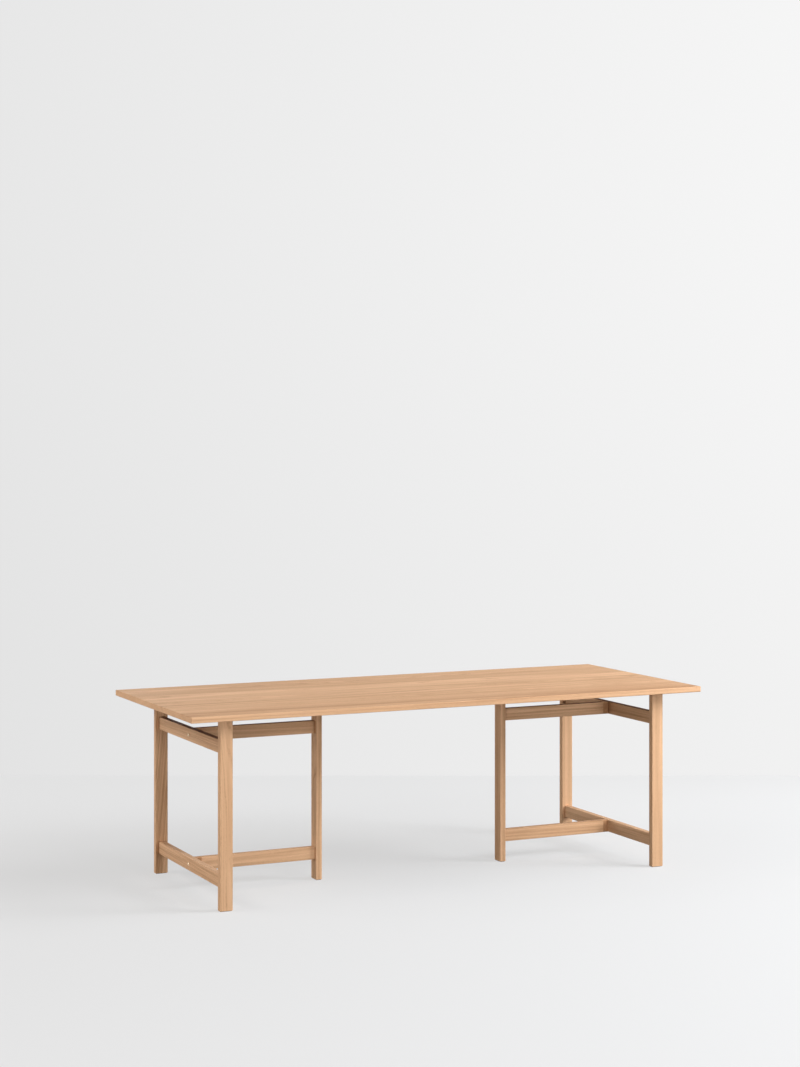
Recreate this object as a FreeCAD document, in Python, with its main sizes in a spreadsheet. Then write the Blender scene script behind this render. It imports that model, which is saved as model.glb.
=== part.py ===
import FreeCAD, Part
import os
import Sketcher

# Trestle dining table: a board top lying on two trestles, each a T in plan.
# Frame: origin on the floor under the middle of the top, +X along the top, +Y to the back, +Z up.

doc = FreeCAD.newDocument("TrestleDiningTable")

# Driving dimensions in millimetres
SIZES = [
    ("table_height", 730, "floor to the top's upper face"),
    ("top_length", 2180, "top along X"),
    ("top_width", 900, "top along Y"),
    ("top_thickness", 22, "thickness of the boards"),
    ("top_arris", 1.5, "bevel of the top's outer edges"),
    ("board_count", 7, "boards glued side by side"),
    ("end_overhang", 136.5, "end of the top to the outer legs"),
    ("side_overhang", 71, "long edge of the top to the outer legs"),
    ("leg_spacing", 519.5, "outer leg to inner leg along X, centre to centre"),
    ("leg_width", 50, "broad face of a leg"),
    ("leg_thickness", 25, "narrow face of a leg"),
    ("leg_arris", 2, "rounding of a leg's long edges"),
    ("rail_height", 50, "height of a rail"),
    ("rail_thickness", 24, "thickness of a rail"),
    ("rail_arris", 1.5, "rounding of a rail's long edges"),
    ("lower_rail_base", 80, "floor to the lower rails"),
    ("upper_rail_drop", 82, "underside of the top to the upper rails"),
    ("tenon_height", 36, "height of a rail's tenon"),
    ("tenon_thickness", 9, "thickness of a rail's tenon"),
    ("tenon_length", 17, "reach of a rail's tenon"),
    ("tenon_clearance", 0.1, "room on each side of a tenon"),
    ("mortise_floor_gap", 1, "room past the end of a tenon"),
    ("tee_block_length", 24, "block between cross rail and long rail"),
    ("tee_block_recess", 0.8, "setback of the block's sides from the rail's sides"),
    ("bolt_radius", 3, "shank of a tee bolt"),
    ("bolt_clearance", 0.3, "radial room for the shank in the cross rail"),
    ("bolt_head_radius", 6, "head of a tee bolt"),
    ("bolt_head_height", 3.5, "head of a tee bolt"),
    ("bolt_head_bevel", 1.2, "bevel of the head's rim"),
    ("bolt_tip_gap", 2, "bolt's tip short of the insert's far end"),
    ("socket_radius", 2.3, "corner radius of the hexagonal socket"),
    ("socket_depth", 2, "depth of the hexagonal socket"),
    ("insert_radius", 5.5, "outside of a threaded insert"),
    ("insert_length", 16, "length of a threaded insert"),
    ("insert_clearance", 0.05, "radial room round an insert"),
    ("thread_clearance", 0.05, "radial room between bolt and insert"),
    ("twin_tenon_height", 8, "height of each twin tenon at the tee"),
    ("twin_tenon_offset", 14, "twin tenon's middle above or below the bolt"),
    ("twin_tenon_reach", 12, "reach of a twin tenon into the cross rail"),
    ("pin_radius", 5, "locating pin in a leg's top"),
    ("pin_leg_depth", 22, "reach of a pin into its leg"),
    ("pin_stand", 12, "reach of a pin above its leg"),
    ("pin_bevel", 1.5, "bevel of a pin's upper end"),
    ("pin_clearance", 0.3, "radial room for a pin in the top"),
    ("pin_seat_clearance", 0.1, "radial room for a pin in its leg"),
    ("pin_end_gap", 1, "room past each end of a pin"),
    ("foot_pad_thickness", 2, "felt pad under a leg"),
    ("foot_pad_inset", 3, "edge of a foot to its felt pad"),
]

sheet = doc.addObject("Spreadsheet::Sheet", "Sizes")
for row, (alias, number, note) in enumerate(SIZES, start=1):
    sheet.set(f"A{row}", note)
    sheet.set(f"B{row}", str(number))
    sheet.setAlias(f"B{row}", alias)
doc.recompute()

# Places worked out from the driving dimensions
LEG_LENGTH = "(Sizes.table_height - Sizes.top_thickness - Sizes.foot_pad_thickness)"
OUTER_LEG_X = "(Sizes.top_length / 2 - Sizes.end_overhang - Sizes.leg_width / 2)"
OUTER_LEG_Y = "(Sizes.top_width / 2 - Sizes.side_overhang - Sizes.leg_thickness / 2)"
INNER_LEG_X = f"({OUTER_LEG_X} - Sizes.leg_spacing)"
LEG_TOP = "(Sizes.table_height - Sizes.top_thickness)"
RAIL_LEVELS = {
    "upper": f"({LEG_TOP} - Sizes.upper_rail_drop - Sizes.rail_height / 2)",
    "lower": "(Sizes.lower_rail_base + Sizes.rail_height / 2)",
}
CROSS_RAIL_SPAN = f"(2 * {OUTER_LEG_Y} - Sizes.leg_thickness)"
CROSS_RAIL_FACE = f"({OUTER_LEG_X} - Sizes.rail_thickness / 2)"
TEE_BLOCK_X = f"({CROSS_RAIL_FACE} - Sizes.tee_block_length / 2)"
LONG_RAIL_START = f"({CROSS_RAIL_FACE} - Sizes.tee_block_length)"
LONG_RAIL_END = f"({INNER_LEG_X} + Sizes.leg_thickness / 2)"
LONG_RAIL_SPAN = f"({LONG_RAIL_START} - {LONG_RAIL_END})"
LONG_RAIL_X = f"(({LONG_RAIL_START} + {LONG_RAIL_END}) / 2)"
BOLT_REACH = "(Sizes.rail_thickness + Sizes.insert_length - Sizes.bolt_tip_gap)"
BOARD_WIDTH = "(Sizes.top_width / Sizes.board_count)"
TWIN_STEPS = {"Top": 1, "Bottom": -1}

X_AXIS = FreeCAD.Vector(1, 0, 0)
Y_AXIS = FreeCAD.Vector(0, 1, 0)
Z_AXIS = FreeCAD.Vector(0, 0, 1)
DRAWN_SIZE = 10.0

nodes = []


def size(alias):
    """Number in a cell of the sheet."""
    return float(sheet.get(alias))


def new_body(label):
    """Empty body with its own label."""
    body = doc.addObject("PartDesign::Body", label)
    body.Label = label
    return body


def place(body, x="0", y="0", z="0", turn=0):
    """Put a body at a bound position, turned about +Z by whole degrees."""
    body.Placement = FreeCAD.Placement(FreeCAD.Vector(), FreeCAD.Rotation(Z_AXIS, turn))
    body.setExpression("Placement.Base.x", x)
    body.setExpression("Placement.Base.y", y)
    body.setExpression("Placement.Base.z", z)


def new_sketch(body, name, role, x="0", y="0", lift="0"):
    """Sketch on one of the body's own origin planes, shifted within it and along its normal."""
    sketch = body.newObject("Sketcher::SketchObject", name)
    plane = next(item for item in body.Origin.OriginFeatures if item.Role == role)
    sketch.AttachmentSupport = [(plane, "")]
    sketch.MapMode = "FlatFace"
    sketch.setExpression("AttachmentOffset.Base.x", x)
    sketch.setExpression("AttachmentOffset.Base.y", y)
    sketch.setExpression("AttachmentOffset.Base.z", lift)
    return sketch


def bind(sketch, constraint, name, expression):
    """Add a named dimension to a sketch and tie it to an expression."""
    index = sketch.addConstraint(constraint)
    sketch.renameConstraint(index, name)
    sketch.setExpression(f"Constraints.{name}", expression)


def draw_rectangle(sketch, width, height):
    """Rectangle centred on the sketch's origin."""
    half = DRAWN_SIZE / 2
    corners = [(-half, -half), (half, -half), (half, half), (-half, half)]
    points = [FreeCAD.Vector(across, along, 0) for across, along in corners]
    for index in range(4):
        sketch.addGeometry(Part.LineSegment(points[index], points[(index + 1) % 4]), False)
    for index in range(4):
        sketch.addConstraint(Sketcher.Constraint("Coincident", index, 2, (index + 1) % 4, 1))
    for index in (0, 2):
        sketch.addConstraint(Sketcher.Constraint("Horizontal", index))
        sketch.addConstraint(Sketcher.Constraint("Vertical", index + 1))
    sketch.addConstraint(Sketcher.Constraint("Symmetric", 0, 1, 1, 2, -1, 1))
    bind(sketch, Sketcher.Constraint("DistanceX", 0, 1, 0, 2, DRAWN_SIZE), "width", width)
    bind(sketch, Sketcher.Constraint("DistanceY", 1, 1, 1, 2, DRAWN_SIZE), "height", height)


def draw_circle(sketch, radius, name="radius"):
    """Circle about the sketch's origin."""
    index = sketch.addGeometry(Part.Circle(FreeCAD.Vector(), Z_AXIS, DRAWN_SIZE), False)
    sketch.addConstraint(Sketcher.Constraint("Coincident", index, 3, -1, 1))
    bind(sketch, Sketcher.Constraint("Radius", index, DRAWN_SIZE), name, radius)


def pad(body, sketch, name, length, symmetric=False, reverse=False):
    """Add the sketch's profile as stock of a bound length."""
    feature = body.newObject("PartDesign::Pad", name)
    feature.Profile = sketch
    feature.setExpression("Length", length)
    feature.SideType = "Symmetric" if symmetric else "One side"
    feature.Reversed = reverse
    doc.recompute()
    return feature


def pocket(body, sketch, name, depth, symmetric=False, reverse=False):
    """Cut the sketch's profile out to a bound depth, and make sure that it takes wood away."""
    volume = body.Shape.Volume
    feature = body.newObject("PartDesign::Pocket", name)
    feature.Profile = sketch
    feature.setExpression("Length", depth)
    feature.SideType = "Symmetric" if symmetric else "One side"
    feature.Reversed = reverse
    doc.recompute()
    if body.Shape.Volume >= volume:
        raise RuntimeError(f"{body.Label}: {name} cuts nothing")
    return feature


def edges_where(shape, test):
    """Names of the edges that a test on the edge accepts."""
    return [f"Edge{index}" for index, edge in enumerate(shape.Edges, start=1) if test(edge)]


def runs_along(edge, axis):
    """True for a straight edge parallel to an axis."""
    if not isinstance(edge.Curve, Part.Line):
        return False
    return abs(abs(edge.Curve.Direction.dot(axis)) - 1) < 1e-6


def lies_at(edge, axis, level):
    """True where a whole edge lies at one level along an axis."""
    box = edge.BoundBox
    low = FreeCAD.Vector(box.XMin, box.YMin, box.ZMin).dot(axis)
    high = FreeCAD.Vector(box.XMax, box.YMax, box.ZMax).dot(axis)
    return abs(low - level) < 1e-4 and abs(high - level) < 1e-4


def dress(body, base, kind, name, edges, amount):
    """Round or bevel some edges of a feature by a bound amount."""
    feature = body.newObject(f"PartDesign::{kind}", name)
    feature.Base = (base, edges)
    feature.setExpression("Radius" if kind == "Fillet" else "Size", amount)
    doc.recompute()
    return feature


def group(label, members):
    """Equal loose pieces under one label."""
    compound = doc.addObject("Part::Compound", label)
    compound.Label = label
    compound.Links = members
    nodes.append(compound)


def make_leg(label, x, y, turn):
    """Leg with a mortise for each rail in its local +Y face and a pin hole in its top."""
    leg = new_body(label)
    section = new_sketch(leg, "Section", "XY_Plane")
    draw_rectangle(section, "Sizes.leg_width", "Sizes.leg_thickness")
    stock = pad(leg, section, "Stock", LEG_LENGTH)
    long_edges = edges_where(stock.Shape, lambda edge: runs_along(edge, Z_AXIS))
    dress(leg, stock, "Fillet", "EasedEdges", long_edges, "Sizes.leg_arris")
    for level, height in RAIL_LEVELS.items():
        mouth = new_sketch(
            leg,
            f"{level.title()}MortiseMouth",
            "XZ_Plane",
            y=f"{height} - Sizes.foot_pad_thickness",
            lift="-Sizes.leg_thickness / 2",
        )
        draw_rectangle(
            mouth,
            "Sizes.tenon_thickness + 2 * Sizes.tenon_clearance",
            "Sizes.tenon_height + 2 * Sizes.tenon_clearance",
        )
        depth = "Sizes.tenon_length + Sizes.mortise_floor_gap"
        pocket(leg, mouth, f"{level.title()}Mortise", depth, reverse=True)
    pin_mouth = new_sketch(leg, "PinMouth", "XY_Plane", lift=LEG_LENGTH)
    draw_circle(pin_mouth, "Sizes.pin_radius + Sizes.pin_seat_clearance")
    pocket(leg, pin_mouth, "PinHole", "Sizes.pin_leg_depth + Sizes.pin_end_gap")
    place(leg, x, y, "Sizes.foot_pad_thickness", turn)
    nodes.append(leg)


def twin_mortise_mouth(body, name, step, lift):
    """Outline of one of the tee's mortises, above or below the bolt."""
    height = f"{step} * Sizes.twin_tenon_offset"
    mouth = new_sketch(body, f"{name}TwinMouth", "YZ_Plane", y=height, lift=lift)
    draw_rectangle(
        mouth,
        "Sizes.tenon_thickness + 2 * Sizes.tenon_clearance",
        "Sizes.twin_tenon_height + 2 * Sizes.tenon_clearance",
    )
    return mouth


def make_cross_rail(label, x, z, turn):
    """Rail along Y with a tenon at each end and, in its middle, a bolt hole and the tee's two mortises."""
    rail = new_body(label)
    section = new_sketch(rail, "Section", "XZ_Plane")
    draw_rectangle(section, "Sizes.rail_thickness", "Sizes.rail_height")
    stock = pad(rail, section, "Stock", CROSS_RAIL_SPAN, symmetric=True)
    long_edges = edges_where(stock.Shape, lambda edge: runs_along(edge, Y_AXIS))
    dress(rail, stock, "Fillet", "EasedEdges", long_edges, "Sizes.rail_arris")
    tenon_section = new_sketch(rail, "TenonSection", "XZ_Plane")
    draw_rectangle(tenon_section, "Sizes.tenon_thickness", "Sizes.tenon_height")
    pad(rail, tenon_section, "Tenons", f"{CROSS_RAIL_SPAN} + 2 * Sizes.tenon_length", symmetric=True)
    bolt_mouth = new_sketch(rail, "BoltMouth", "YZ_Plane")
    draw_circle(bolt_mouth, "Sizes.bolt_radius + Sizes.bolt_clearance")
    pocket(rail, bolt_mouth, "BoltHole", "2 * Sizes.rail_thickness", symmetric=True)
    for name, step in TWIN_STEPS.items():
        mouth = twin_mortise_mouth(rail, name, step, "Sizes.rail_thickness / 2")
        pocket(rail, mouth, f"{name}TwinMortise", "Sizes.twin_tenon_reach + Sizes.mortise_floor_gap")
    place(rail, x, "0", z, turn)
    nodes.append(rail)


def make_tee_block(label, x, z, turn):
    """Block between the rails, bored for the insert in its local -X face, with the twin tenons through it."""
    block = new_body(label)
    section = new_sketch(block, "Section", "YZ_Plane")
    draw_rectangle(section, "Sizes.rail_thickness - 2 * Sizes.tee_block_recess", "Sizes.rail_height")
    stock = pad(block, section, "Stock", "Sizes.tee_block_length", symmetric=True)
    long_edges = edges_where(stock.Shape, lambda edge: runs_along(edge, X_AXIS))
    dress(block, stock, "Chamfer", "EasedEdges", long_edges, "Sizes.rail_arris")
    insert_mouth = new_sketch(block, "InsertMouth", "YZ_Plane", lift="-Sizes.tee_block_length / 2")
    draw_circle(insert_mouth, "Sizes.insert_radius + Sizes.insert_clearance")
    pocket(block, insert_mouth, "InsertHole", "Sizes.insert_length", reverse=True)
    for name, step in TWIN_STEPS.items():
        mouth = twin_mortise_mouth(block, name, step, "0")
        pocket(block, mouth, f"{name}TwinMortise", "2 * Sizes.tee_block_length", symmetric=True)
    place(block, x, "0", z, turn)
    nodes.append(block)


def make_long_rail(label, x, z, turn):
    """Rail along X with twin tenons on its local -X end and one tenon on its local +X end."""
    rail = new_body(label)
    section = new_sketch(rail, "Section", "YZ_Plane")
    draw_rectangle(section, "Sizes.rail_thickness", "Sizes.rail_height")
    stock = pad(rail, section, "Stock", LONG_RAIL_SPAN, symmetric=True)
    long_edges = edges_where(stock.Shape, lambda edge: runs_along(edge, X_AXIS))
    dress(rail, stock, "Fillet", "EasedEdges", long_edges, "Sizes.rail_arris")
    tenon_section = new_sketch(rail, "TenonSection", "YZ_Plane", lift=f"{LONG_RAIL_SPAN} / 2")
    draw_rectangle(tenon_section, "Sizes.tenon_thickness", "Sizes.tenon_height")
    pad(rail, tenon_section, "Tenon", "Sizes.tenon_length")
    twin_reach = "Sizes.tee_block_length + Sizes.twin_tenon_reach"
    near_end = f"-{LONG_RAIL_SPAN} / 2"
    for name, step in TWIN_STEPS.items():
        height = f"{step} * Sizes.twin_tenon_offset"
        twin_section = new_sketch(rail, f"{name}TwinSection", "YZ_Plane", y=height, lift=near_end)
        draw_rectangle(twin_section, "Sizes.tenon_thickness", "Sizes.twin_tenon_height")
        pad(rail, twin_section, f"{name}TwinTenon", twin_reach, reverse=True)
    place(rail, x, "0", z, turn)
    nodes.append(rail)


def make_bolt(label, x, z, turn):
    """Flat-head bolt along X, its head outside the cross rail and its tip in the insert."""
    bolt = new_body(label)
    head_outline = new_sketch(bolt, "HeadOutline", "YZ_Plane")
    draw_circle(head_outline, "Sizes.bolt_head_radius")
    head = pad(bolt, head_outline, "Head", "Sizes.bolt_head_height", reverse=True)
    rim = edges_where(head.Shape, lambda edge: lies_at(edge, X_AXIS, -size("bolt_head_height")))
    dress(bolt, head, "Chamfer", "BevelledRim", rim, "Sizes.bolt_head_bevel")
    shank_outline = new_sketch(bolt, "ShankOutline", "YZ_Plane")
    draw_circle(shank_outline, "Sizes.bolt_radius")
    pad(bolt, shank_outline, "Shank", BOLT_REACH)
    volume = bolt.Shape.Volume
    drive = bolt.newObject("PartDesign::SubtractivePrism", "HexSocket")
    plane = next(item for item in bolt.Origin.OriginFeatures if item.Role == "YZ_Plane")
    drive.AttachmentSupport = [(plane, "")]
    drive.MapMode = "FlatFace"
    drive.Polygon = 6
    drive.setExpression("Circumradius", "Sizes.socket_radius")
    drive.setExpression("Height", "Sizes.socket_depth")
    drive.setExpression("AttachmentOffset.Base.z", "-Sizes.bolt_head_height")
    doc.recompute()
    if bolt.Shape.Volume >= volume:
        raise RuntimeError(f"{label}: the socket cuts nothing")
    place(bolt, x, "0", z, turn)
    return bolt


def make_insert(label, x, z, turn):
    """Threaded sleeve along X, flush with the tee block's face."""
    insert = new_body(label)
    outline = new_sketch(insert, "Ring", "YZ_Plane")
    draw_circle(outline, "Sizes.insert_radius", "outside")
    draw_circle(outline, "Sizes.bolt_radius + Sizes.thread_clearance", "bore")
    pad(insert, outline, "Sleeve", "Sizes.insert_length")
    place(insert, x, "0", z, turn)
    return insert


def make_top_pins(label, spots):
    """Locating pin standing out of each leg's top."""
    length = "Sizes.pin_leg_depth + Sizes.pin_stand"
    pins = []
    for leg_name, x, y in spots:
        pin = new_body(f"{label}_{leg_name}")
        outline = new_sketch(pin, "Outline", "XY_Plane")
        draw_circle(outline, "Sizes.pin_radius")
        stock = pad(pin, outline, "Stock", length)
        upper_level = size("pin_leg_depth") + size("pin_stand")
        rim = edges_where(stock.Shape, lambda edge: lies_at(edge, Z_AXIS, upper_level))
        dress(pin, stock, "Chamfer", "LeadIn", rim, "Sizes.pin_bevel")
        place(pin, x, y, f"{LEG_TOP} - Sizes.pin_leg_depth")
        pins.append(pin)
    group(label, pins)


def make_foot_pads(label, spots):
    """Felt pad under each leg, a little smaller than the foot."""
    pads = []
    for leg_name, x, y, turn in spots:
        felt = new_body(f"{label}_{leg_name}")
        outline = new_sketch(felt, "Outline", "XY_Plane")
        draw_rectangle(
            outline,
            "Sizes.leg_width - 2 * Sizes.foot_pad_inset",
            "Sizes.leg_thickness - 2 * Sizes.foot_pad_inset",
        )
        pad(felt, outline, "Felt", "Sizes.foot_pad_thickness")
        place(felt, x, y, turn=turn)
        pads.append(felt)
    group(label, pads)


def make_trestle(name, side):
    """Every piece of one trestle; side is -1 at the -X end and 1 at the +X end."""
    turn = 0 if side < 0 else 180
    outer_x = f"{side} * {OUTER_LEG_X}"
    inner_x = f"{side} * {INNER_LEG_X}"
    legs = [
        ("front", outer_x, f"-{OUTER_LEG_Y}", 0),
        ("back", outer_x, OUTER_LEG_Y, 180),
        ("inner", inner_x, "0", turn + 90),
    ]
    for leg_name, x, y, leg_turn in legs:
        make_leg(f"{name}_{leg_name}_leg", x, y, leg_turn)
    bolts = []
    inserts = []
    for level, height in RAIL_LEVELS.items():
        make_cross_rail(f"{name}_{level}_cross_rail", outer_x, height, turn)
        make_tee_block(f"{name}_{level}_tee_block", f"{side} * {TEE_BLOCK_X}", height, turn)
        make_long_rail(f"{name}_{level}_long_rail", f"{side} * {LONG_RAIL_X}", height, turn)
        bolt_x = f"{side} * ({OUTER_LEG_X} + Sizes.rail_thickness / 2)"
        bolts.append(make_bolt(f"{name}_{level}_tee_bolt", bolt_x, height, turn))
        insert_x = f"{side} * {CROSS_RAIL_FACE}"
        inserts.append(make_insert(f"{name}_{level}_tee_insert", insert_x, height, turn))
    group(f"{name}_tee_bolts", bolts)
    group(f"{name}_tee_inserts", inserts)
    make_top_pins(f"{name}_top_pins", [leg[:3] for leg in legs])
    make_foot_pads(f"{name}_foot_pads", legs)


def pin_rows():
    """Each row of pins under the top: its bound places along Y and X, and its place along Y in numbers."""
    outer_y = size("top_width") / 2 - size("side_overhang") - size("leg_thickness") / 2
    return [
        ("Front", f"-{OUTER_LEG_Y}", OUTER_LEG_X, -outer_y),
        ("Back", OUTER_LEG_Y, OUTER_LEG_X, outer_y),
        ("Middle", "0", INNER_LEG_X, 0.0),
    ]


def make_top_board(index):
    """Board of the top, counted from the front, with the blind holes of the pins under it."""
    count = int(size("board_count"))
    width = size("top_width") / count
    middle = (index - (count - 1) / 2) * width
    board = new_body(f"top_board_{index + 1}")
    outline = new_sketch(board, "Outline", "XY_Plane")
    draw_rectangle(outline, "Sizes.top_length", BOARD_WIDTH)
    stock = pad(board, outline, "Stock", "Sizes.top_thickness")
    half_length = size("top_length") / 2
    outer_sides = []
    if index == 0:
        outer_sides.append(-width / 2)
    if index == count - 1:
        outer_sides.append(width / 2)

    def on_outline(edge):
        at_end = runs_along(edge, Y_AXIS) and (
            lies_at(edge, X_AXIS, half_length) or lies_at(edge, X_AXIS, -half_length)
        )
        at_side = any(lies_at(edge, Y_AXIS, level) for level in outer_sides)
        return at_end or at_side

    dress(board, stock, "Chamfer", "EasedEdges", edges_where(stock.Shape, on_outline), "Sizes.top_arris")
    middle_y = f"({index} - (Sizes.board_count - 1) / 2) * {BOARD_WIDTH}"
    hole_radius = size("pin_radius") + size("pin_clearance")
    for row_name, row_y, row_x, row_place in pin_rows():
        if abs(row_place - middle) >= width / 2 + hole_radius:
            continue
        for side_name, side in (("Left", -1), ("Right", 1)):
            mouth = new_sketch(
                board,
                f"{row_name}{side_name}PinMouth",
                "XY_Plane",
                x=f"{side} * {row_x}",
                y=f"{row_y} - {middle_y}",
            )
            draw_circle(mouth, "Sizes.pin_radius + Sizes.pin_clearance")
            depth = "Sizes.pin_stand + Sizes.pin_end_gap"
            pocket(board, mouth, f"{row_name}{side_name}PinHole", depth, reverse=True)
    place(board, "0", middle_y, LEG_TOP)
    nodes.append(board)


make_trestle("left", -1)
make_trestle("right", 1)
for board_index in range(int(size("board_count"))):
    make_top_board(board_index)
doc.recompute()

for item in doc.Objects:
    if "Invalid" in item.State or "Error" in item.State:
        raise RuntimeError(f"{item.Label} failed: {item.State}")
for node in nodes:
    if node.Shape.isNull() or not node.Shape.isValid():
        raise RuntimeError(f"{node.Label} has no valid shape")

os.makedirs("parts", exist_ok=True)
for node in nodes:
    node.Shape.exportStep(f"parts/{node.Label}.step")
print(len(nodes), "nodes written")
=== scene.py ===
import math

import bpy
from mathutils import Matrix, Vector


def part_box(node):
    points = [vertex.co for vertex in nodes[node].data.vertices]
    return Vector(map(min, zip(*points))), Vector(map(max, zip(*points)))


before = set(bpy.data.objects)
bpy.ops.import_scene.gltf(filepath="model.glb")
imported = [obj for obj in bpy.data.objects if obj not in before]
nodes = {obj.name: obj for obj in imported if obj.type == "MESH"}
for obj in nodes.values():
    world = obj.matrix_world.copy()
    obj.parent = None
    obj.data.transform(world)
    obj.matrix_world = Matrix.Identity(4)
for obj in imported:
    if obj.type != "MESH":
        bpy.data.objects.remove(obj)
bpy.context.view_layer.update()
scene = bpy.context.scene

# Viewpoint of the photograph: pixels of an image 1067 high, sensor in millimetres, places in metres
IMAGE_HEIGHT = 1067
FOCAL_PIXELS = 2100.84
HORIZON_ABOVE_MIDDLE = 103.53
SENSOR = 36.0
CAMERA_PLACE = (-3.64168, -7.62827, 1.76862)
CAMERA_TURN = math.radians(-25.24)
CAMERA_REACH = 200.0
AHEAD = (-math.sin(CAMERA_TURN), math.cos(CAMERA_TURN), 0.0)
RIGHTWARD = (math.cos(CAMERA_TURN), math.sin(CAMERA_TURN), 0.0)

# Colours, linear
LIGHT_OAK = (0.770, 0.482, 0.284)
DARK_OAK = (0.420, 0.2195, 0.1055)
# Colour of the pores, and also of the painted shade under the top
PORE_AND_SHADE_OAK = (0.260, 0.122, 0.052)
END_OAK = (0.610, 0.362, 0.203)
BOLT_BRASS = (0.87, 0.73, 0.52)
INSERT_BRASS = (0.74, 0.55, 0.28)
DARK_FELT = (0.075, 0.06, 0.05)
PALE_FELT = (0.14, 0.115, 0.095)
WHITE = (1.0, 1.0, 1.0, 1.0)

# Figure of oak: stretches are features per metre along and across the fibre, reaches are metres
SWAY_STRETCH = (0.9, 2.4, 2.4)
SWAY_REACH = (0.0, 0.034, 0.034)
RIPPLE_STRETCH = (5.0, 40.0, 40.0)
RIPPLE_REACH = (0.0, 0.0042, 0.0042)
PORE_STRETCH = (95.0, 2300.0, 2300.0)
PORE_LIMITS = (0.53, 0.66)
LATE_WOOD_PORES = 0.15
WIDE_STRETCH = (0.7, 20.0, 20.0)
NARROW_STRETCH = (1.5, 120.0, 120.0)
FINE_STRETCH = (7.0, 560.0, 560.0)
FINE_NOISE_ROUGHNESS = 0.6

# Rays of oak: features per metre along the stem, per radian round it and per metre outward
RAY_STRETCH = (55.0, 190.0, 45.0)
RAY_LIMITS = (0.60, 0.70)

# Growth rings: width in metres, drift in rings, seasons as shares of a year
RING_WIDTH = 0.0030
RING_DRIFT = 2.5
DRIFT_STRETCH = 55.0
DECADE_STRETCH = 80.0
EARLY_WOOD_STARTS = (0.0, 0.06)
EARLY_WOOD_ENDS = (0.12, 0.42)
LATE_WOOD_STARTS = (0.45, 1.0)
LEAST_VIGOUR = 0.3

# Shade of oak, nought for light and one for dark wood: what each layer of the figure adds
LAYER_SHADES = {"decade": 0.75, "wide": 0.70, "narrow": 0.75, "fine": 0.65, "late": 0.10, "early": 0.34}
FIGURE_MIDDLE = 1.50
MEAN_SHADE = 0.45
RAY_PALENESS = 0.20
PORE_DARKNESS = 0.60

# Surface of oak: roughness, and height as a share of the relief
OAK_SPECULAR = 0.18
OAK_ROUGHNESS = 0.56
PATCH_STRETCH = (3.0, 14.0, 14.0)
PATCH_ROUGHNESS = 0.14
PORE_ROUGHNESS = 0.16
RAY_ROUGHNESS = -0.06
EARLY_HEIGHT = -0.25
PORE_HEIGHT = -0.75
FINE_HEIGHT = 0.25
OAK_RELIEF = {"strength": 0.35, "distance": 0.0002}

# Places of the colour sockets on a mix node
MIX_FIRST = 6
MIX_SECOND = 7
MIX_RESULT = 2


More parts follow.
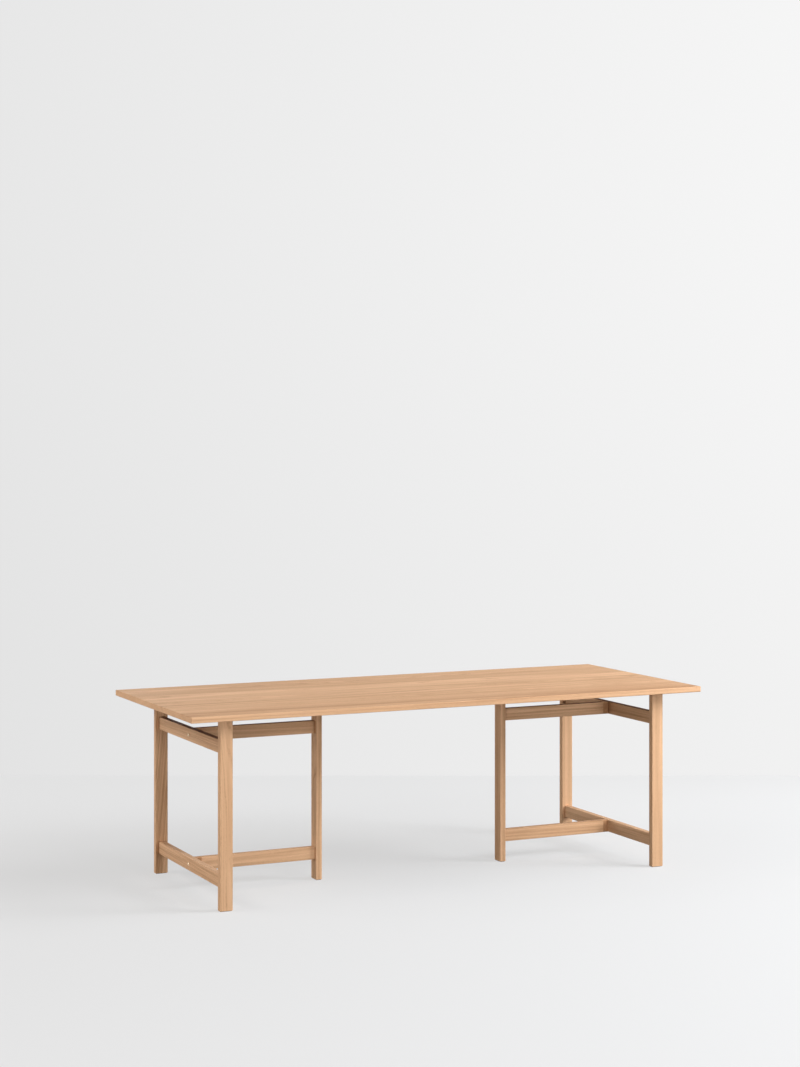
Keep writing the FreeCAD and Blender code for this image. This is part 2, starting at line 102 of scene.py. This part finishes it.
class Graph:
    """Short ways to add and join nodes of one tree."""

    def __init__(self, tree):
        self.tree = tree

    def add(self, kind, inputs=None, **settings):
        """New node with its settings and its inputs."""
        node = self.tree.nodes.new(kind)
        for name, value in settings.items():
            setattr(node, name, value)
        self.fill(node, inputs or {})
        return node

    def fill(self, node, inputs):
        """Set inputs of a node to numbers, or join them to sockets."""
        for name, value in inputs.items():
            self.feed(node.inputs[name], value)

    def feed(self, socket, value):
        """Join a socket to another one, or set its own value."""
        if isinstance(value, bpy.types.NodeSocket):
            self.tree.links.new(value, socket)
        else:
            socket.default_value = value

    def math(self, operation, first, second=0.0, third=0.0):
        """Result of a number operation."""
        inputs = {0: first, 1: second, 2: third}
        return self.add("ShaderNodeMath", inputs, operation=operation).outputs[0]

    def vector(self, operation, first, second=(0.0, 0.0, 0.0)):
        """Result of a vector operation that is a vector."""
        inputs = {0: first, 1: second}
        return self.add("ShaderNodeVectorMath", inputs, operation=operation).outputs["Vector"]

    def dot(self, first, second):
        """Dot product of two vectors."""
        inputs = {0: first, 1: second}
        return self.add("ShaderNodeVectorMath", inputs, operation="DOT_PRODUCT").outputs["Value"]

    def length(self, vector):
        """Length of a vector."""
        return self.add("ShaderNodeVectorMath", {0: vector}, operation="LENGTH").outputs["Value"]

    def turned(self, place, angles):
        """Place turned round the three axes."""
        return self.add("ShaderNodeMapping", {"Vector": place, "Rotation": angles}).outputs[0]

    def noise(self, place, stretch, detail=2.0, rough=0.5):
        """Noise whose features are one over the stretch in size along each axis."""
        place = self.vector("MULTIPLY", place, stretch)
        inputs = {"Vector": place, "Scale": 1.0, "Detail": detail, "Roughness": rough}
        return self.add("ShaderNodeTexNoise", inputs, noise_dimensions="3D")

    def cloud(self, place, stretch, detail=2.0, rough=0.5):
        """Noise as a number from nought to one."""
        return self.noise(place, stretch, detail, rough).outputs["Fac"]

    def spread(self, noise, reach):
        """Vector that a noise's colour throws to either side by half the reach."""
        centred = self.vector("SUBTRACT", noise.outputs["Color"], (0.5, 0.5, 0.5))
        return self.vector("MULTIPLY", centred, reach)

    def strand(self, value, stretch):
        """Noise along one number."""
        place = self.math("MULTIPLY", value, stretch)
        inputs = {"W": place, "Scale": 1.0, "Detail": 2.0}
        return self.add("ShaderNodeTexNoise", inputs, noise_dimensions="1D").outputs["Fac"]

    def rescale(self, value, low, high, start, end, kind):
        """Number taken from one range to another."""
        inputs = {"Value": value, "From Min": low, "From Max": high, "To Min": start, "To Max": end}
        return self.add("ShaderNodeMapRange", inputs, interpolation_type=kind).outputs[0]

    def ramp(self, value, low, high, start=0.0, end=1.0):
        """Smooth step of a number between two limits."""
        return self.rescale(value, low, high, start, end, "SMOOTHSTEP")

    def blend(self, share, first, second):
        """Mix of two colours."""
        node = self.add("ShaderNodeMix", data_type="RGBA")
        self.feed(node.inputs[0], share)
        for place, color in ((MIX_FIRST, first), (MIX_SECOND, second)):
            joined = isinstance(color, bpy.types.NodeSocket)
            self.feed(node.inputs[place], color if joined else (*color, 1.0))
        return node.outputs[MIX_RESULT]

    def relief(self, height, strength, distance):
        """Normal of a surface that a number raises by up to the distance."""
        inputs = {"Strength": strength, "Distance": distance, "Height": height}
        return self.add("ShaderNodeBump", inputs).outputs[0]


def round_the_pith(graph, place, pith, taper):
    """Place in the stem: along it, angle and distance round a pith that sways, ripples and tapers."""
    sway = graph.spread(graph.noise(place, SWAY_STRETCH, detail=1.0), SWAY_REACH)
    ripple = graph.spread(graph.noise(place, RIPPLE_STRETCH), RIPPLE_REACH)
    across = graph.vector("SUBTRACT", place, pith)
    across = graph.vector("ADD", graph.vector("ADD", across, sway), ripple)
    along, side, depth = graph.add("ShaderNodeSeparateXYZ", {0: across}).outputs
    square = graph.math("MULTIPLY_ADD", side, side, graph.math("MULTIPLY", depth, depth))
    angle = graph.math("ARCTAN2", depth, side)
    radius = graph.math("MULTIPLY_ADD", along, taper, graph.math("SQRT", square))
    return along, angle, radius


def growth_rings(graph, radius):
    """Porous early wood at the start of each year, and late wood that darkens slowly to its end."""
    drift = graph.strand(radius, DRIFT_STRETCH)
    phase = graph.math("MULTIPLY_ADD", drift, RING_DRIFT, graph.math("DIVIDE", radius, RING_WIDTH))
    year = graph.math("FLOOR", phase)
    season = graph.math("FRACT", phase)
    chance = graph.add("ShaderNodeTexWhiteNoise", {"W": year}, noise_dimensions="1D").outputs["Value"]
    vigour = graph.math("MULTIPLY_ADD", chance, 1.0 - LEAST_VIGOUR, LEAST_VIGOUR)
    starts = graph.ramp(season, *EARLY_WOOD_STARTS)
    ends = graph.ramp(season, *EARLY_WOOD_ENDS, 1.0, 0.0)
    early = graph.math("MULTIPLY", graph.math("MULTIPLY", starts, ends), vigour)
    late = graph.ramp(season, *LATE_WOOD_STARTS)
    return early, late


def oak_pores(graph, place, early):
    """Pores, mostly in early wood: dashes along the fibre, dots on the end grain."""
    dashes = graph.ramp(graph.cloud(place, PORE_STRETCH, detail=1.0), *PORE_LIMITS)
    crowding = graph.math("MULTIPLY_ADD", early, 1.0 - LATE_WOOD_PORES, LATE_WOOD_PORES)
    return graph.math("MULTIPLY", dashes, crowding)


def oak_rays(graph, along, angle, radius):
    """Rays: thin sheets that run out from the pith."""
    place = graph.add("ShaderNodeCombineXYZ", {0: along, 1: angle, 2: radius}).outputs[0]
    return graph.ramp(graph.cloud(place, RAY_STRETCH, detail=1.0), *RAY_LIMITS)


def oak_group():
    """Oak figure: colour, roughness and height at a place in the stem."""
    group = bpy.data.node_groups.new("oak_figure", "ShaderNodeTree")
    vector = "NodeSocketVector"
    number = "NodeSocketFloat"
    color = "NodeSocketColor"
    takes = {"Place": vector, "Pith": vector, "Taper": number, "Tone": number, "Contrast": number}
    gives = {"Color": color, "Roughness": number, "Height": number}
    for name, kind in takes.items():
        group.interface.new_socket(name, in_out="INPUT", socket_type=kind)
    for name, kind in gives.items():
        group.interface.new_socket(name, in_out="OUTPUT", socket_type=kind)
    graph = Graph(group)
    entry = graph.add("NodeGroupInput").outputs
    place = entry["Place"]
    along, angle, radius = round_the_pith(graph, place, entry["Pith"], entry["Taper"])
    early, late = growth_rings(graph, radius)
    pores = oak_pores(graph, place, early)
    rays = oak_rays(graph, along, angle, radius)
    layers = {
        "decade": graph.strand(radius, DECADE_STRETCH),
        "wide": graph.cloud(place, WIDE_STRETCH),
        "narrow": graph.cloud(place, NARROW_STRETCH),
        "fine": graph.cloud(place, FINE_STRETCH, rough=FINE_NOISE_ROUGHNESS),
        "late": late,
        "early": early,
    }

    streaks = -FIGURE_MIDDLE
    for layer, weight in LAYER_SHADES.items():
        streaks = graph.math("MULTIPLY_ADD", layers[layer], weight, streaks)
    mean = graph.math("ADD", entry["Tone"], MEAN_SHADE)
    shade = graph.math("MULTIPLY_ADD", streaks, entry["Contrast"], mean)
    tint = graph.blend(shade, LIGHT_OAK, DARK_OAK)
    tint = graph.blend(graph.math("MULTIPLY", rays, RAY_PALENESS), tint, LIGHT_OAK)
    tint = graph.blend(graph.math("MULTIPLY", pores, PORE_DARKNESS), tint, PORE_AND_SHADE_OAK)

    patches = graph.cloud(place, PATCH_STRETCH)
    rough = graph.math("MULTIPLY_ADD", patches, PATCH_ROUGHNESS, OAK_ROUGHNESS)
    rough = graph.math("MULTIPLY_ADD", pores, PORE_ROUGHNESS, rough)
    rough = graph.math("MULTIPLY_ADD", rays, RAY_ROUGHNESS, rough)
    height = graph.math("MULTIPLY", pores, PORE_HEIGHT)
    height = graph.math("MULTIPLY_ADD", early, EARLY_HEIGHT, height)
    height = graph.math("MULTIPLY_ADD", layers["fine"], FINE_HEIGHT, height)
    graph.add("NodeGroupOutput", {"Color": tint, "Roughness": rough, "Height": height})
    return group


def new_material(name):
    """Node material with its graph and its shader."""
    material = bpy.data.materials.new(name)
    material.use_nodes = True
    graph = Graph(material.node_tree)
    return material, graph, material.node_tree.nodes["Principled BSDF"]


# Arrises: reach in metres, limits of the turn between the flat and the rounded normal, and of the patches
ARRIS_REACH = 0.0016
ARRIS_LIMITS = (0.99, 0.85)
ARRIS_PALENESS = 0.25
ARRIS_SAMPLES = 4
WEAR_STRETCH = (45.0, 45.0, 45.0)
WEAR_LIMITS = (0.3, 0.6)

# Painted shade on the upper rails under the top: how near the top has to be, in metres, and how far it
# shuts a face in before the wood is painted darker
PAINTED_SHADE_RAILS = ("upper_cross_rail", "upper_long_rail")
PAINTED_SHADE_REACH = 0.12
PAINTED_SHADE_LIMITS = (0.85, 0.55)
PAINTED_SHADE_SAMPLES = 8

# Ends and edges: limits of how squarely a face cuts the fibre, share of end grain, and the painted light
# that makes a board's long edges paler than its flats
END_LIMITS = (0.7, 0.95)
END_SHARE = 0.65
PAINTED_EDGE_LIGHT = -0.26

# Grain: turn of each axis onto the fibre, and how far apart in the wood two pieces lie, in metres
GRAIN_TURNS = {
    "x": (0.0, 0.0, 0.0),
    "y": (0.0, 0.0, -math.pi / 2),
    "z": (0.0, math.pi / 2, 0.0),
}
GRAIN_AXES = {"x": (1.0, 0.0, 0.0), "y": (0.0, 1.0, 0.0), "z": (0.0, 0.0, 1.0)}
GOLDEN = 0.6180339887
LEAST_SLIP = 3.0
SLIP_RANGE = 5.0
SLIP_WAY = (1.0, 1.7, 0.6)


def edge_wear(graph, place):
    """One on the arrises and nought on the flats, broken up by noise."""
    rounded = graph.add("ShaderNodeBevel", {"Radius": ARRIS_REACH}, samples=ARRIS_SAMPLES).outputs[0]
    flat = graph.add("ShaderNodeNewGeometry").outputs["Normal"]
    arris = graph.ramp(graph.dot(rounded, flat), *ARRIS_LIMITS)
    patches = graph.ramp(graph.cloud(place, WEAR_STRETCH), *WEAR_LIMITS)
    return graph.math("MULTIPLY", arris, patches)


def painted_shade_under_top(graph):
    """Painted shade: one where other wood lies close in front of a face, nought in the open."""
    inputs = {"Distance": PAINTED_SHADE_REACH}
    openness = graph.add("ShaderNodeAmbientOcclusion", inputs, samples=PAINTED_SHADE_SAMPLES).outputs["AO"]
    return graph.ramp(openness, *PAINTED_SHADE_LIMITS)


def oak(name, group, axis, middle, index, tone, contrast, pith, lean, taper):
    """Oak for one piece: fibres along an axis, the pith set off from the middle of the piece."""
    material, graph, shader = new_material(name)
    coordinates = graph.add("ShaderNodeTexCoord").outputs
    slip = LEAST_SLIP + SLIP_RANGE * (index * GOLDEN % 1.0)
    offset = tuple(share * slip for share in SLIP_WAY)
    place = graph.vector("SUBTRACT", coordinates["Object"], tuple(middle))
    place = graph.turned(place, GRAIN_TURNS[axis])
    place = graph.turned(place, (0.0, *lean))
    place = graph.vector("ADD", place, offset)
    # Painted light: a board's long edges are painted paler than its flats
    if "board" in name:
        painted_edge_share = graph.math("ABSOLUTE", graph.dot(coordinates["Normal"], GRAIN_AXES["y"]))
        tone = graph.math("MULTIPLY_ADD", painted_edge_share, PAINTED_EDGE_LIGHT, tone)
    inputs = {
        "Place": place,
        "Pith": (0.0, offset[1] + pith[0], offset[2] + pith[1]),
        "Taper": taper,
        "Tone": tone,
        "Contrast": contrast,
    }
    figure = graph.add("ShaderNodeGroup", inputs, node_tree=group).outputs
    facing = graph.math("ABSOLUTE", graph.dot(coordinates["Normal"], GRAIN_AXES[axis]))
    end_grain = graph.ramp(facing, *END_LIMITS, 0.0, END_SHARE)
    color = graph.blend(end_grain, figure["Color"], END_OAK)
    worn = graph.math("MULTIPLY", edge_wear(graph, place), ARRIS_PALENESS)
    color = graph.blend(worn, color, LIGHT_OAK)
    # Painted shade: the upper rails are darkened towards the pore colour where the top lies close above
    # them
    if name.endswith(PAINTED_SHADE_RAILS):
        color = graph.blend(painted_shade_under_top(graph), color, PORE_AND_SHADE_OAK)
    graph.fill(shader, {
        "Base Color": color,
        "Roughness": figure["Roughness"],
        "Specular IOR Level": OAK_SPECULAR,
        "Normal": graph.relief(figure["Height"], **OAK_RELIEF),
    })
    return material


# Brass: features per metre of its clouds and scratches, and how its dull and its rough places spread
BRASS_STRETCH = (320.0, 320.0, 320.0)
SCRATCH_STRETCH = (900.0, 4000.0, 4000.0)
DULL_SHARE = 0.72
DULL_LIMITS = (0.35, 0.75)
MOST_DULL = 0.6
GLOSS_LIMITS = (0.3, 0.8)
BRASS_ROUGHNESS = (0.22, 0.4)
BRASS_RELIEF = {"strength": 0.12, "distance": 0.0001}


def brass(name, color):
    """Satin brass, a little uneven."""
    material, graph, shader = new_material(name)
    place = graph.add("ShaderNodeTexCoord").outputs["Object"]
    cloud = graph.cloud(place, BRASS_STRETCH, detail=3.0)
    scratches = graph.cloud(place, SCRATCH_STRETCH, detail=1.0)
    dull = tuple(DULL_SHARE * channel for channel in color)
    dullness = graph.ramp(cloud, *DULL_LIMITS, 0.0, MOST_DULL)
    graph.fill(shader, {
        "Base Color": graph.blend(dullness, color, dull),
        "Metallic": 1.0,
        "Roughness": graph.ramp(cloud, *GLOSS_LIMITS, *BRASS_ROUGHNESS),
        "Normal": graph.relief(scratches, **BRASS_RELIEF),
    })
    return material


# Felt: fibres per metre
FELT_STRETCH = (1400.0, 1400.0, 1400.0)
FELT_LIMITS = (0.35, 0.65)
FELT_NOISE_ROUGHNESS = 0.7
FELT_ROUGHNESS = 0.95
FELT_SHEEN = 0.3
FELT_RELIEF = {"strength": 0.6, "distance": 0.0004}


def felt(name):
    """Dense pressed felt."""
    material, graph, shader = new_material(name)
    place = graph.add("ShaderNodeTexCoord").outputs["Object"]
    fibre = graph.cloud(place, FELT_STRETCH, detail=3.0, rough=FELT_NOISE_ROUGHNESS)
    graph.fill(shader, {
        "Base Color": graph.blend(graph.ramp(fibre, *FELT_LIMITS), DARK_FELT, PALE_FELT),
        "Roughness": FELT_ROUGHNESS,
        "Sheen Weight": FELT_SHEEN,
        "Normal": graph.relief(fibre, **FELT_RELIEF),
    })
    return material


def dress(name, material):
    """Give a piece its material."""
    mesh = nodes[name].data
    mesh.materials.clear()
    mesh.materials.append(material)


# Wood of each piece: shade added to the mean, contrast of the figure, and direction of the fibre
TONES = {
    "left_front_leg": -0.02,
    "left_back_leg": 0.04,
    "left_inner_leg": -0.10,
    "left_upper_long_rail": -0.02,
    "left_lower_long_rail": -0.12,
    "right_front_leg": -0.05,
    "right_back_leg": -0.12,
    "right_upper_cross_rail": -0.09,
    "right_lower_cross_rail": -0.27,
    "right_upper_long_rail": -0.21,
    "right_lower_long_rail": 0.05,
    # Painted shade: the lower right tee block is darker than the other tee blocks where the cross rail's
    # shadow falls on it
    "right_lower_tee_block": 0.66,
    "top_board_1": 0.25,
    "top_board_3": 0.05,
    "top_board_4": -0.03,
    "top_board_5": -0.20,
    "top_board_6": 0.04,
    "top_board_7": -0.06,
    "tee_block": 0.55,
}
CONTRASTS = {
    "left_front_leg": 0.85,
    "left_back_leg": 2.0,
    "left_inner_leg": 1.5,
    "left_upper_cross_rail": 1.4,
    "left_lower_cross_rail": 1.4,
    "right_front_leg": 0.8,
    "right_back_leg": 0.6,
    "right_inner_leg": 1.4,
    "right_upper_cross_rail": 1.5,
    "right_lower_cross_rail": 1.5,
    "right_upper_long_rail": 1.6,
    "right_lower_long_rail": 1.2,
}
GRAIN_OF = {
    "leg": "z",
    "cross_rail": "y",
    "long_rail": "x",
    "tee_block": "z",
    "board": "x",
    "top_pins": "z",
}

# Pith beside each piece in metres, lean of the fibre in radians and taper of the stem, dealt out in turn
PITHS = (
    (0.035, -0.10),
    (-0.05, -0.16),
    (0.02, 0.13),
    (0.08, -0.12),
    (-0.03, 0.10),
    (0.055, 0.15),
    (-0.02, -0.14),
)
NEAR_PITHS = {"left_back_leg": (0.012, 0.03), "left_front_leg": (0.08, -0.02)}
PITH_STEP = 3
LEANS = ((0.001, 0.004), (-0.002, -0.006), (0.001, 0.005), (-0.001, -0.003), (0.002, 0.007))
SLOPES = {"left_back_leg": (-0.09, 0.01)}
LEAN_STEP = 2
TAPERS = (0.012, -0.016, 0.008, 0.020)


def dress_wood():
    """Give each wooden piece an oak of its own."""
    group = oak_group()
    wood_nodes = [name for name in sorted(nodes) if any(word in name for word in GRAIN_OF)]
    for index, name in enumerate(wood_nodes):
        low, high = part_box(name)
        middle = (low + high) / 2
        axis = next(grain for word, grain in GRAIN_OF.items() if word in name)
        tone = next((shift for word, shift in TONES.items() if word in name), 0.0)
        contrast = CONTRASTS.get(name, 1.0)
        pith = NEAR_PITHS.get(name, PITHS[index * PITH_STEP % len(PITHS)])
        lean = SLOPES.get(name, LEANS[index * LEAN_STEP % len(LEANS)])
        taper = TAPERS[index % len(TAPERS)]
        wood = oak(f"oak_{name}", group, axis, middle, index + 1, tone, contrast, pith, lean, taper)
        dress(name, wood)


def dress_fittings():
    """Give the bolts, the inserts and the pads their brass and felt."""
    bolt_brass = brass("bolt_brass", BOLT_BRASS)
    insert_brass = brass("insert_brass", INSERT_BRASS)
    pad_felt = felt("pad_felt")
    for side in ("left", "right"):
        dress(f"{side}_tee_bolts", bolt_brass)
        dress(f"{side}_tee_inserts", insert_brass)
        dress(f"{side}_foot_pads", pad_felt)


def add_camera():
    """Camera at the viewpoint of the photograph."""
    data = bpy.data.cameras.new("camera")
    data.sensor_width = SENSOR
    data.lens = FOCAL_PIXELS * SENSOR / IMAGE_HEIGHT
    data.shift_y = -HORIZON_ABOVE_MIDDLE / IMAGE_HEIGHT
    data.clip_end = CAMERA_REACH
    camera = bpy.data.objects.new("camera", data)
    camera.location = CAMERA_PLACE
    camera.rotation_euler = (math.pi / 2, 0.0, CAMERA_TURN)
    scene.collection.objects.link(camera)
    scene.camera = camera


# Backdrop: brightness at the left and the right of the view, and its fall towards the floor
BACKDROP_LEFT = 0.80
BACKDROP_RIGHT = 0.92
BACKDROP_REACH = 0.19
BACKDROP_RISE = (-0.17, 0.12)
BACKDROP_FALL = (0.96, 1.0)

# Floor: reach, faint line behind the table and rim of its lit part in metres, then brightness
FLOOR_REACH = 40.0
FLOOR_LINE = 2.29
FLOOR_RIM = (3.4, 5.5)
FLOOR_GLOW = 0.532
GLOW_TILT = 0.015
GLOW_REACH = 1.9
FLOOR_RISE = 0.068
RISE_LIMITS = (-0.5, 2.2)
FLOOR_SEEN = 0.247
FLOOR_BOUNCE = 0.10

# Faint even light that the world gives to the object
WORLD_LIGHT = 0.02


def seen_directly(graph):
    """One for rays from the camera, and for those that metal or glass passes on."""
    path = graph.add("ShaderNodeLightPath").outputs
    straight = graph.math("MAXIMUM", path["Is Camera Ray"], path["Is Glossy Ray"])
    return graph.math("MAXIMUM", straight, path["Is Transmission Ray"])


def sideways(graph, place, left_value, right_value, reach):
    """Number that grows from left to right of the photograph's view."""
    across = graph.dot(place, RIGHTWARD)
    return graph.rescale(across, -reach, reach, left_value, right_value, "LINEAR")


def backdrop_tone(graph, direction):
    """Brightness of the backdrop in a direction: paler to the right and upwards."""
    pale = sideways(graph, direction, BACKDROP_LEFT, BACKDROP_RIGHT, BACKDROP_REACH)
    rise = graph.add("ShaderNodeSeparateXYZ", {0: direction}).outputs["Z"]
    return graph.math("MULTIPLY", pale, graph.ramp(rise, *BACKDROP_RISE, *BACKDROP_FALL))


def floor_material():
    """Matt floor that is lit near the table and has the tone of the backdrop further off."""
    material = bpy.data.materials.new("floor")
    material.use_nodes = True
    material.node_tree.nodes.clear()
    graph = Graph(material.node_tree)
    seen = seen_directly(graph)
    place = graph.add("ShaderNodeNewGeometry").outputs["Position"]
    far = graph.dot(place, AHEAD)
    inside = graph.ramp(graph.length(place), *FLOOR_RIM, 1.0, 0.0)
    near = graph.math("MULTIPLY", inside, graph.math("LESS_THAN", far, FLOOR_LINE))
    from_viewpoint = graph.vector("SUBTRACT", place, CAMERA_PLACE)
    plain = backdrop_tone(graph, graph.vector("NORMALIZE", from_viewpoint))
    glow = sideways(graph, place, FLOOR_GLOW - GLOW_TILT, FLOOR_GLOW + GLOW_TILT, GLOW_REACH)
    glow = graph.math("ADD", glow, graph.ramp(far, *RISE_LIMITS, 0.0, FLOOR_RISE))
    glow = graph.math("MULTIPLY_ADD", graph.math("SUBTRACT", glow, plain), near, plain)
    glow = graph.math("MULTIPLY", glow, seen)
    albedo = graph.math("MULTIPLY_ADD", near, FLOOR_SEEN, -FLOOR_BOUNCE)
    albedo = graph.math("MULTIPLY_ADD", albedo, seen, FLOOR_BOUNCE)
    grey = graph.add("ShaderNodeCombineColor", {0: albedo, 1: albedo, 2: albedo}).outputs[0]
    matt = graph.add("ShaderNodeBsdfDiffuse", {"Color": grey}).outputs[0]
    light = graph.add("ShaderNodeEmission", {"Strength": glow}).outputs[0]
    both = graph.add("ShaderNodeAddShader", {0: matt, 1: light}).outputs[0]
    graph.add("ShaderNodeOutputMaterial", {"Surface": both})
    return material


def add_floor():
    """One large plane at the height of the table's feet."""
    corners = [
        (-FLOOR_REACH, -FLOOR_REACH, 0.0),
        (FLOOR_REACH, -FLOOR_REACH, 0.0),
        (FLOOR_REACH, FLOOR_REACH, 0.0),
        (-FLOOR_REACH, FLOOR_REACH, 0.0),
    ]
    mesh = bpy.data.meshes.new("floor")
    mesh.from_pydata(corners, [], [(0, 1, 2, 3)])
    mesh.materials.append(floor_material())
    floor = bpy.data.objects.new("floor", mesh)
    scene.collection.objects.link(floor)


def add_world():
    """World: a pale backdrop to the eye, a faint even light to the object."""
    world = bpy.data.worlds.new("studio")
    scene.world = world
    world.use_nodes = True
    world.node_tree.nodes.clear()
    graph = Graph(world.node_tree)
    pale = backdrop_tone(graph, graph.add("ShaderNodeTexCoord").outputs["Generated"])
    backdrop = graph.add("ShaderNodeBackground", {"Color": WHITE, "Strength": pale}).outputs[0]
    dim = graph.add("ShaderNodeBackground", {"Color": WHITE, "Strength": WORLD_LIGHT}).outputs[0]
    mixed = graph.add("ShaderNodeMixShader", {0: seen_directly(graph), 1: dim, 2: backdrop}).outputs[0]
    graph.add("ShaderNodeOutputWorld", {"Surface": mixed})


# Softboxes: azimuth from +X and elevation in degrees, width, height and distance in metres, power in watts
LIGHT_TARGET = Vector((0.0, 0.0, 0.5))
SOFTBOXES = {
    "key": (330, 26, 1.4, 1.4, 6.0, 186.0),
    "low_key": (330, 10, 2.6, 2.0, 6.0, 130.0),
    "upper_key": (330, 50, 3.0, 3.0, 5.5, 138.0),
    "left_high": (175, 35, 3.0, 2.0, 6.0, 108.0),
    "left_low": (150, 3, 3.0, 1.2, 6.0, 92.0),
    "front_high": (275, 35, 3.0, 2.0, 6.0, 98.0),
    "front_low": (275, 8, 3.0, 2.0, 6.0, 90.0),
    "corner_low": (225, 3, 3.0, 1.2, 6.0, 77.0),
    "back_low": (95, 10, 3.0, 2.0, 6.0, 40.0),
}
WARM_SIDES = ("left", "corner")
WARM_LIGHT = (1.04, 1.0, 0.96)
COOL_LIGHT = (0.98, 1.0, 1.03)


def add_softbox(name, azimuth, elevation, width, height, distance, power):
    """Softbox that faces the middle of the table."""
    turn = math.radians(azimuth)
    rise = math.radians(elevation)
    level = math.cos(rise)
    toward = Vector((math.cos(turn) * level, math.sin(turn) * level, math.sin(rise)))
    lamp = bpy.data.lights.new(name, "AREA")
    lamp.shape = "RECTANGLE"
    lamp.size = width
    lamp.size_y = height
    lamp.energy = power
    lamp.color = WARM_LIGHT if name.startswith(WARM_SIDES) else COOL_LIGHT
    softbox = bpy.data.objects.new(name, lamp)
    softbox.location = LIGHT_TARGET + toward * distance
    softbox.rotation_mode = "QUATERNION"
    softbox.rotation_quaternion = (-toward).to_track_quat("-Z", "Y")
    softbox.visible_camera = False
    scene.collection.objects.link(softbox)


dress_wood()
dress_fittings()
add_camera()
add_floor()
add_world()
for softbox_name, softbox_values in SOFTBOXES.items():
    add_softbox(softbox_name, *softbox_values)
scene.view_settings.view_transform = "Standard"
